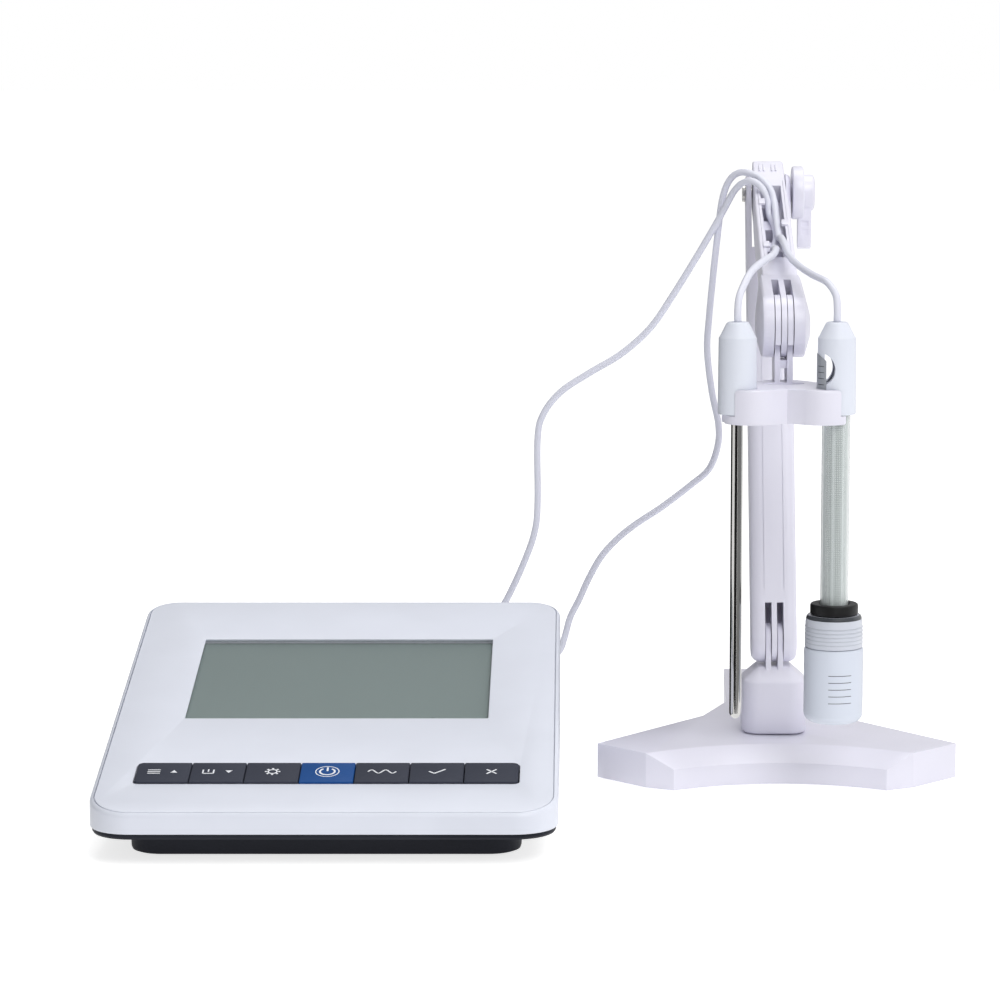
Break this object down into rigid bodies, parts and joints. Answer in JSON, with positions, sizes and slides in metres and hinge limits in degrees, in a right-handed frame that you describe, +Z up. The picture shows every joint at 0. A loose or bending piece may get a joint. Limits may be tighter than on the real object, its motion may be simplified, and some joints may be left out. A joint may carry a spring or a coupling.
{
  "type": "ph meter",
  "caption": "Bench pH meter with sloping display face, beside a folding electrode arm that holds a temperature probe and a glass electrode in its storage bottle.",
  "frame": {"origin": "on the table, under the middle of the box round the meter and the stand, leads left out", "axes": "+X from the meter towards the stand, +Y away from the operator, +Z up"},
  "size_m": [0.368, 0.338, 0.2729],
  "materials": {
    "white_housing": "satin moulded, slightly cool white",
    "stand_plastic": "satin moulded, pale lilac white",
    "cap_plastic": "matte moulded, cool white",
    "dark_housing": "matte charcoal",
    "key_slate": "satin dark slate",
    "key_blue": "satin blue",
    "display_glass": "clear",
    "display_face": "grey-green liquid crystal face",
    "circuit_board": "green solder mask",
    "black_rubber": "matte black",
    "stainless_steel": "polished",
    "mild_steel": "zinc plated plate",
    "electrode_glass": "clear, grey-green",
    "frosted_bottle": "frosted translucent polyethylene",
    "lead_jacket": "soft white lead jacket"
  },
  "bodies": {
    "desk_units": {"upper_shell": "white_housing", "lower_shell": "dark_housing", "face_panel": "white_housing", "display_window": "display_glass", "display_module": "display_face", "keypad_mat": "black_rubber", "switch_board": "circuit_board", "main_board": "circuit_board", "case_screw_1": "stainless_steel", "case_screw_2": "stainless_steel", "case_screw_3": "stainless_steel", "case_screw_4": "stainless_steel", "meter_foot_1": "black_rubber", "meter_foot_2": "black_rubber", "meter_foot_3": "black_rubber", "meter_foot_4": "black_rubber", "ph_socket": "stainless_steel", "temperature_socket": "dark_housing", "power_socket": "dark_housing", "ph_plug": "stainless_steel", "temperature_plug": "dark_housing", "stand_base": "stand_plastic", "base_weight": "mild_steel", "base_pad_left": "black_rubber", "base_pad_right": "black_rubber", "base_pad_rear": "black_rubber", "ph_lead": "lead_jacket", "temperature_lead": "lead_jacket"},
    "turret": {"turret": "stand_plastic", "swivel_bolt": "stainless_steel"},
    "lower_arm": {"lower_arm": "stand_plastic", "foot_pivot_pin": "stainless_steel", "elbow_bolt": "stainless_steel"},
    "upper_arm": {"upper_arm": "stand_plastic", "wrist_pin": "stainless_steel"},
    "elbow_knob": {"elbow_knob": "stand_plastic"},
    "holder": {"electrode_holder": "stand_plastic"},
    "temperature_probe": {"temperature_cap": "cap_plastic", "temperature_tube": "stainless_steel"},
    "ph_electrode": {"electrode_cap": "cap_plastic", "electrode_sleeve": "white_housing", "electrode_tube": "electrode_glass", "electrode_stem": "electrode_glass", "glass_bulb": "electrode_glass"},
    "bottle_cap": {"bottle_cap": "frosted_bottle", "bottle_seal": "black_rubber"},
    "storage_bottle": {"storage_bottle": "frosted_bottle"},
    "key_mode": {"key_mode": "key_slate"},
    "key_store": {"key_store": "key_slate"},
    "key_set": {"key_set": "key_slate"},
    "key_power": {"key_power": "key_blue"},
    "key_measure": {"key_measure": "key_slate"},
    "key_confirm": {"key_confirm": "key_slate"},
    "key_escape": {"key_escape": "key_slate"}
  },
  "joints": [
    {"name": "turret_swivel", "type": "hinge", "parent": "desk_units", "child": "turret", "pos_m": [0.1034, 0.024, 0.0165], "axis": [0, 0, 1], "range_deg": [-50, 50], "deforming": ["ph_lead", "temperature_lead"]},
    {"name": "lower_arm_tilt", "type": "hinge", "parent": "turret", "child": "lower_arm", "pos_m": [0.1034, 0.024, 0.0576], "axis": [1, 0, 0], "range_deg": [0, 25]},
    {"name": "upper_arm_lift", "type": "hinge", "parent": "lower_arm", "child": "upper_arm", "pos_m": [0.1034, 0.099, 0.258], "axis": [-1, 0, 0], "range_deg": [-5, 60]},
    {"name": "holder_tilt", "type": "hinge", "parent": "upper_arm", "child": "holder", "pos_m": [0.1034, -0.024, 0.206], "axis": [-1, 0, 0], "range_deg": [-12, 35]},
    {"name": "elbow_knob_turn", "type": "hinge", "parent": "lower_arm", "child": "elbow_knob", "pos_m": [0.1034, 0.099, 0.258], "axis": [1, 0, 0], "range_deg": [-60, 90]},
    {"name": "temperature_probe_lift", "type": "slide", "parent": "holder", "child": "temperature_probe", "axis": [0, 0, 1], "range_m": [0, 0.06]},
    {"name": "ph_electrode_lift", "type": "slide", "parent": "holder", "child": "ph_electrode", "axis": [0, 0, 1], "range_m": [0, 0.06]},
    {"name": "bottle_pull_off", "type": "slide", "parent": "ph_electrode", "child": "bottle_cap", "axis": [0, 0, -1], "range_m": [0, 0.03]},
    {"name": "bottle_unscrew", "type": "hinge", "parent": "bottle_cap", "child": "storage_bottle", "pos_m": [0.1246, -0.056, 0.06], "axis": [0, 0, 1], "range_deg": [0, 360]},
    {"name": "key_mode_press", "type": "slide", "parent": "desk_units", "child": "key_mode", "axis": [0, 0.2197, -0.9756], "range_m": [0, 0.0008], "stiffness_N_per_m": 900, "springref_m": -0.0006},
    {"name": "key_store_press", "type": "slide", "parent": "desk_units", "child": "key_store", "axis": [0, 0.2197, -0.9756], "range_m": [0, 0.0008], "stiffness_N_per_m": 900, "springref_m": -0.0006},
    {"name": "key_set_press", "type": "slide", "parent": "desk_units", "child": "key_set", "axis": [0, 0.2197, -0.9756], "range_m": [0, 0.0008], "stiffness_N_per_m": 900, "springref_m": -0.0006},
    {"name": "key_power_press", "type": "slide", "parent": "desk_units", "child": "key_power", "axis": [0, 0.2197, -0.9756], "range_m": [0, 0.0008], "stiffness_N_per_m": 900, "springref_m": -0.0006},
    {"name": "key_measure_press", "type": "slide", "parent": "desk_units", "child": "key_measure", "axis": [0, 0.2197, -0.9756], "range_m": [0, 0.0008], "stiffness_N_per_m": 900, "springref_m": -0.0006},
    {"name": "key_confirm_press", "type": "slide", "parent": "desk_units", "child": "key_confirm", "axis": [0, 0.2197, -0.9756], "range_m": [0, 0.0008], "stiffness_N_per_m": 900, "springref_m": -0.0006},
    {"name": "key_escape_press", "type": "slide", "parent": "desk_units", "child": "key_escape", "axis": [0, 0.2197, -0.9756], "range_m": [0, 0.0008], "stiffness_N_per_m": 900, "springref_m": -0.0006}
  ]
}
